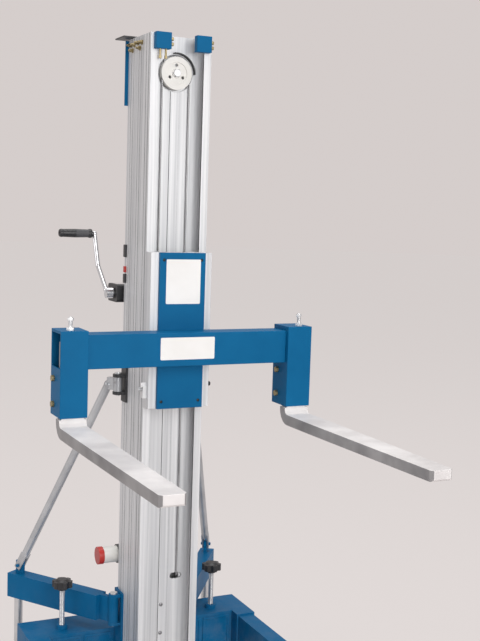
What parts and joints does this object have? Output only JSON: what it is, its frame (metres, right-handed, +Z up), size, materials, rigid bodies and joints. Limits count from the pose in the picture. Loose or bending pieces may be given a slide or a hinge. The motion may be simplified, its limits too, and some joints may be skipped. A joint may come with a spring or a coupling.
{
  "type": "material hoist",
  "caption": "Hand-cranked material hoist: telescoping aluminium mast on a wheeled base, fork carriage, geared rope winch and swing-out braced stabilizers.",
  "frame": {"origin": "on the floor under the middle of the footprint", "axes": "+Z up along the mast, forks point to -Y, +X to the right seen from the front"},
  "size_m": [0.744, 1.3226, 1.984],
  "materials": {
    "blue_paint": "gloss enamel",
    "mast_aluminium": "mill-finish extrusion",
    "zinc_steel": "bright zinc plate",
    "yellow_zinc": "yellow zinc plate",
    "black_steel": "satin black paint",
    "black_plastic": "moulded",
    "nylon": "machined nylon",
    "wire_rope": "galvanised strand",
    "gear_steel": "machined",
    "chrome": "polished",
    "wheel_rubber": "moulded tread",
    "red_plastic": "moulded"
  },
  "bodies": {
    "base": {"base_frame": "blue_paint", "left_leg": "blue_paint", "right_leg": "blue_paint", "base_bolts": "yellow_zinc", "column_1": "mast_aluminium", "rear_head": "blue_paint", "column_top_plates": "black_steel", "brace_brackets": "black_steel", "stabilizer_pins": "zinc_steel", "winch_frame": "black_steel", "winch_housing": "black_plastic", "winch_rope": "wire_rope", "canister": "nylon", "canister_bracket": "black_steel"},
    "rear_sheave": {"rear_sheave": "nylon"},
    "column_2": {"column_2": "mast_aluminium", "column_2_glides": "nylon"},
    "column_3": {"column_3": "mast_aluminium", "column_3_glides": "nylon", "top_blocks": "blue_paint", "top_bolts": "yellow_zinc", "sheave_carrier": "zinc_steel", "rope_guard": "black_steel", "head_rope": "wire_rope"},
    "head_sheave": {"head_sheave": "nylon"},
    "carriage": {"carriage_frame": "mast_aluminium", "carriage_plate": "blue_paint", "carriage_glides": "nylon", "rope_anchor": "zinc_steel", "lift_rope": "wire_rope", "carriage_latch": "zinc_steel", "fork_beam": "blue_paint", "left_fork_bracket": "blue_paint", "right_fork_bracket": "blue_paint", "left_fork": "zinc_steel", "right_fork": "zinc_steel", "fork_bolts": "yellow_zinc"},
    "drum": {"winch_drum": "zinc_steel", "drum_gear": "gear_steel", "rope_winding": "wire_rope"},
    "crank": {"crank_shaft": "zinc_steel", "crank_arm": "chrome"},
    "grip": {"crank_grip": "black_plastic"},
    "canister_cap": {"canister_cap": "red_plastic"},
    "left_stabilizer": {"left_arm": "blue_paint", "left_brace": "zinc_steel"},
    "left_foot": {"left_jack": "zinc_steel"},
    "left_levelling_screw": {"left_screw": "zinc_steel"},
    "left_levelling_knob": {"left_knob": "black_plastic"},
    "left_caster": {"left_caster_fork": "zinc_steel"},
    "left_caster_wheel": {"left_caster_wheel": "wheel_rubber"},
    "left_rear_wheel": {"left_rear_wheel": "wheel_rubber"},
    "right_stabilizer": {"right_arm": "blue_paint", "right_brace": "zinc_steel"},
    "right_foot": {"right_jack": "zinc_steel"},
    "right_levelling_screw": {"right_screw": "zinc_steel"},
    "right_levelling_knob": {"right_knob": "black_plastic"},
    "right_caster": {"right_caster_fork": "zinc_steel"},
    "right_caster_wheel": {"right_caster_wheel": "wheel_rubber"},
    "right_rear_wheel": {"right_rear_wheel": "wheel_rubber"}
  },
  "joints": [
    {"name": "mast_stage_2", "type": "slide", "parent": "base", "child": "column_2", "axis": [0, 0, 1], "range_m": [0, 1.3]},
    {"name": "mast_stage_3", "type": "slide", "parent": "column_2", "child": "column_3", "axis": [0, 0, 1], "range_m": [0, 1.3]},
    {"name": "carriage_lift", "type": "slide", "parent": "column_3", "child": "carriage", "axis": [0, 0, 1], "range_m": [-0.64, 0.44], "deforming": ["lift_rope"]},
    {"name": "head_sheave_spin", "type": "hinge", "parent": "column_3", "child": "head_sheave", "pos_m": [0, 0.20239, 1.88], "axis": [0, 1, 0], "continuous": true},
    {"name": "rear_sheave_spin", "type": "hinge", "parent": "base", "child": "rear_sheave", "pos_m": [0, 0.34159, 1.9], "axis": [1, 0, 0], "continuous": true},
    {"name": "drum_spin", "type": "hinge", "parent": "base", "child": "drum", "pos_m": [0, 0.40639, 1.18668], "axis": [1, 0, 0], "continuous": true},
    {"name": "crank_spin", "type": "hinge", "parent": "base", "child": "crank", "pos_m": [0, 0.39339, 1.258], "axis": [1, 0, 0], "continuous": true},
    {"name": "grip_spin", "type": "hinge", "parent": "crank", "child": "grip", "pos_m": [-0.179, 0.42978, 1.42918], "axis": [1, 0, 0], "continuous": true},
    {"name": "canister_cap_turn", "type": "hinge", "parent": "base", "child": "canister_cap", "pos_m": [-0.136, 0.37639, 0.474], "axis": [1, 0, 0], "continuous": true},
    {"name": "left_stabilizer_swing", "type": "hinge", "parent": "base", "child": "left_stabilizer", "pos_m": [-0.112, 0.31339, 0.3], "axis": [0, 0, 1], "range_deg": [-34, 0]},
    {"name": "left_foot_slide", "type": "slide", "parent": "left_stabilizer", "child": "left_foot", "axis": [0, 0, 1], "range_m": [0, 0.055]},
    {"name": "left_screw_travel", "type": "slide", "parent": "base", "child": "left_levelling_screw", "axis": [0, 0, 1], "range_m": [-0.006, 0.036]},
    {"name": "left_knob_turn", "type": "hinge", "parent": "left_levelling_screw", "child": "left_levelling_knob", "pos_m": [-0.242, 0.40139, 0.4], "axis": [0, 0, 1], "continuous": true},
    {"name": "left_caster_swivel", "type": "hinge", "parent": "base", "child": "left_caster", "pos_m": [-0.325, -0.59161, 0.15], "axis": [0, 0, 1], "continuous": true},
    {"name": "left_caster_roll", "type": "hinge", "parent": "left_caster", "child": "left_caster_wheel", "pos_m": [-0.325, -0.56161, 0.0625], "axis": [1, 0, 0], "continuous": true},
    {"name": "left_wheel_roll", "type": "hinge", "parent": "base", "child": "left_rear_wheel", "pos_m": [-0.25434, 0.55339, 0.075], "axis": [1, 0, 0], "continuous": true},
    {"name": "right_stabilizer_swing", "type": "hinge", "parent": "base", "child": "right_stabilizer", "pos_m": [0.112, 0.31339, 0.3], "axis": [0, 0, -1], "range_deg": [-34, 0]},
    {"name": "right_foot_slide", "type": "slide", "parent": "right_stabilizer", "child": "right_foot", "axis": [0, 0, 1], "range_m": [0, 0.055]},
    {"name": "right_screw_travel", "type": "slide", "parent": "base", "child": "right_levelling_screw", "axis": [0, 0, 1], "range_m": [-0.002, 0.04]},
    {"name": "right_knob_turn", "type": "hinge", "parent": "right_levelling_screw", "child": "right_levelling_knob", "pos_m": [0.242, 0.40139, 0.4], "axis": [0, 0, 1], "continuous": true},
    {"name": "right_caster_swivel", "type": "hinge", "parent": "base", "child": "right_caster", "pos_m": [0.325, -0.59161, 0.15], "axis": [0, 0, 1], "continuous": true},
    {"name": "right_caster_roll", "type": "hinge", "parent": "right_caster", "child": "right_caster_wheel", "pos_m": [0.325, -0.56161, 0.0625], "axis": [1, 0, 0], "continuous": true},
    {"name": "right_wheel_roll", "type": "hinge", "parent": "base", "child": "right_rear_wheel", "pos_m": [0.25434, 0.55339, 0.075], "axis": [1, 0, 0], "continuous": true}
  ],
  "couplings": [
    {"joint": "mast_stage_3", "follows": "mast_stage_2", "ratio": 1},
    {"joint": "head_sheave_spin", "follows": "carriage_lift", "rad_per_m": 25},
    {"joint": "rear_sheave_spin", "follows": "carriage_lift", "rad_per_m": -25},
    {"joint": "drum_spin", "follows": "carriage_lift", "rad_per_m": 40.323},
    {"joint": "crank_spin", "follows": "carriage_lift", "rad_per_m": -154.57},
    {"joint": "left_knob_turn", "follows": "left_screw_travel", "rad_per_m": 1570.8},
    {"joint": "right_knob_turn", "follows": "right_screw_travel", "rad_per_m": 1570.8}
  ]
}
